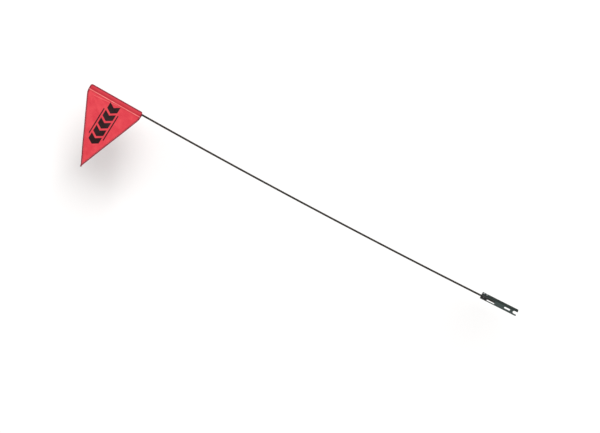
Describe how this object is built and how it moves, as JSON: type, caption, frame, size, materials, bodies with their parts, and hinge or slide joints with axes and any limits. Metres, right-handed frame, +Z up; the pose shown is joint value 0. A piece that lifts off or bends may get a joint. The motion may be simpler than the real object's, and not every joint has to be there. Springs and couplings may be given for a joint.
{
  "type": "safety pennant on a whip pole",
  "caption": "Triangular cloth safety pennant on a thin glass-fibre whip pole, held in a slotted steel angle bracket for a pedal kart or bicycle.",
  "frame": {"origin": "front face of the bracket's web, on its centre line, midway between the axle slot and the bolt slot", "axes": "+Z up along the pole's foot; -Y out of the bracket's web, towards whoever fits it; +X towards the bracket's flange"},
  "size_m": [0.2112, 0.1234, 1.4887],
  "materials": {
    "green_steel": "satin dark green",
    "black_plastic": "matte",
    "zinc": "zinc plated",
    "dark_screw": "black oxide",
    "glass_fibre": "satin",
    "cap_vinyl": "matte",
    "red_cloth": "plain woven",
    "red_thread": "matte thread"
  },
  "bodies": {
    "bracket": {"mounting_bracket": "green_steel", "socket_block": "black_plastic", "lower_rivet": "zinc", "upper_rivet": "zinc", "clamp_nut": "zinc"},
    "screw": {"clamp_screw": "dark_screw"},
    "whip": {"pole": "glass_fibre", "tip_cap": "cap_vinyl"},
    "pennant": {"hoist_sleeve": "red_cloth", "pennant_panel": "red_cloth", "seam_thread_front": "red_thread", "seam_thread_back": "red_thread", "mouth_bartack_front": "red_thread", "mouth_bartack_back": "red_thread", "top_bartack_front": "red_thread", "top_bartack_back": "red_thread", "upper_hem_front": "red_thread", "upper_hem_back": "red_thread", "lower_hem_front": "red_thread", "lower_hem_back": "red_thread"}
  },
  "joints": [
    {"name": "clamp_screw_turn", "type": "hinge", "parent": "bracket", "child": "screw", "pos_m": [0, 0, 0.0958], "axis": [0, -1, 0], "range_deg": [0, 720]},
    {"name": "pole_height", "type": "slide", "parent": "bracket", "child": "whip", "axis": [0, 0, 1], "range_m": [0, 0.03]},
    {"name": "pennant_swivel", "type": "hinge", "parent": "whip", "child": "pennant", "pos_m": [0.02727, 0.01849, 1.37768], "axis": [0.0429, 0.0248, 0.9988], "continuous": true}
  ]
}
